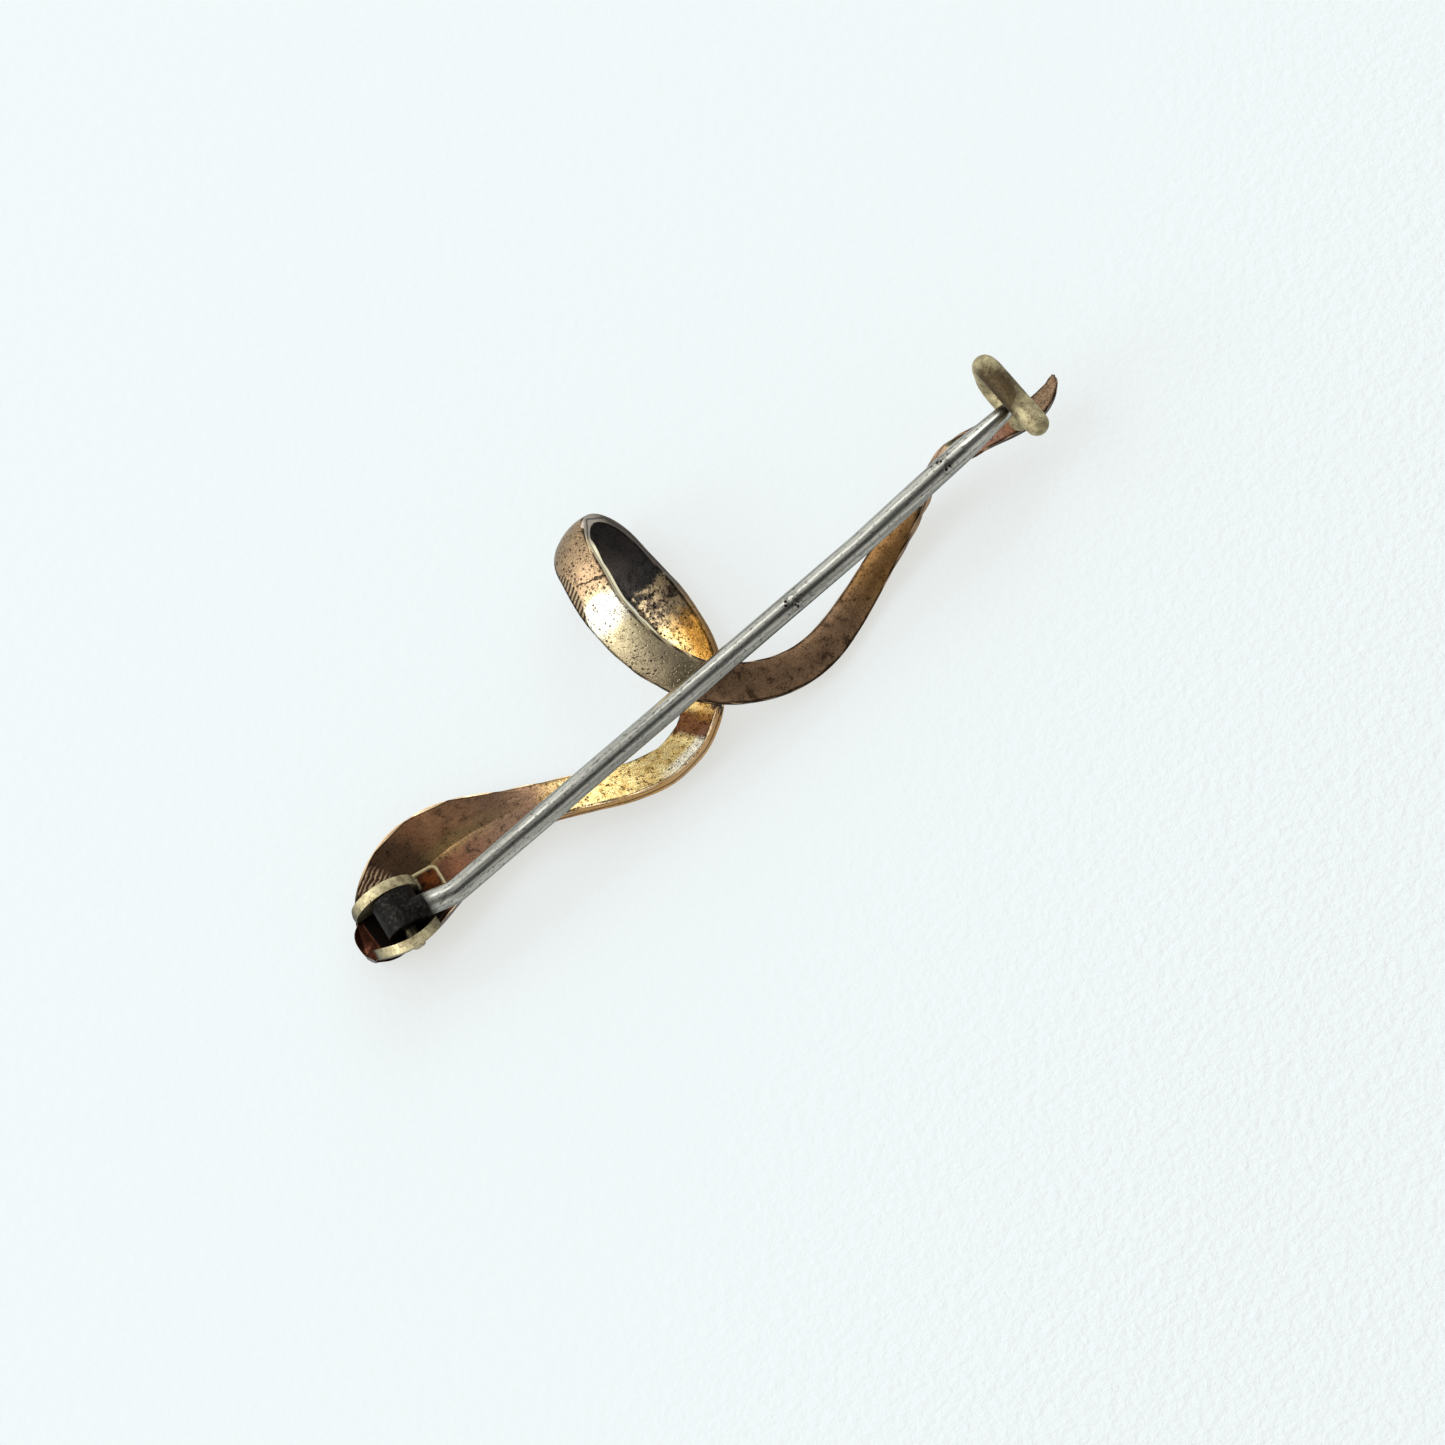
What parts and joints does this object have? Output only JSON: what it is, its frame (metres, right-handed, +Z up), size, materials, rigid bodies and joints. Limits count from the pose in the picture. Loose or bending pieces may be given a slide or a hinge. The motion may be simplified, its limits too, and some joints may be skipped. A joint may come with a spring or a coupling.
{
  "type": "snake brooch",
  "caption": "Small brooch: a flat metal strip drawn out as a snake with a leaf-shaped head, a loop and a thin tail, with a hinged steel pin and a wire catch on its back.",
  "frame": {"origin": "under the middle of the brooch's outline, on the surface it rests on", "axes": "+X along the brooch from the head to the tail, +Z up, from the front that rests on the surface to the back with the pin"},
  "size_m": [0.0384, 0.0114, 0.0055],
  "materials": {
    "gilt_strip": "worn gilding over a coppery base metal, with pits and tarnish",
    "pin_steel": "drawn steel wire, dull, with small rust pits",
    "pale_brass": "pale tarnished brass or nickel silver, soldered"
  },
  "bodies": {
    "brooch": {"snake_body": "gilt_strip", "hinge_rivet": "pale_brass"},
    "pin": {"pin_stem": "pin_steel"}
  },
  "joints": [
    {"name": "pin_swing", "type": "hinge", "parent": "brooch", "child": "pin", "pos_m": [-0.01716, -0.00245, 0.00257], "axis": [-0.1908, -0.9816, 0], "range_deg": [0, 120]}
  ]
}
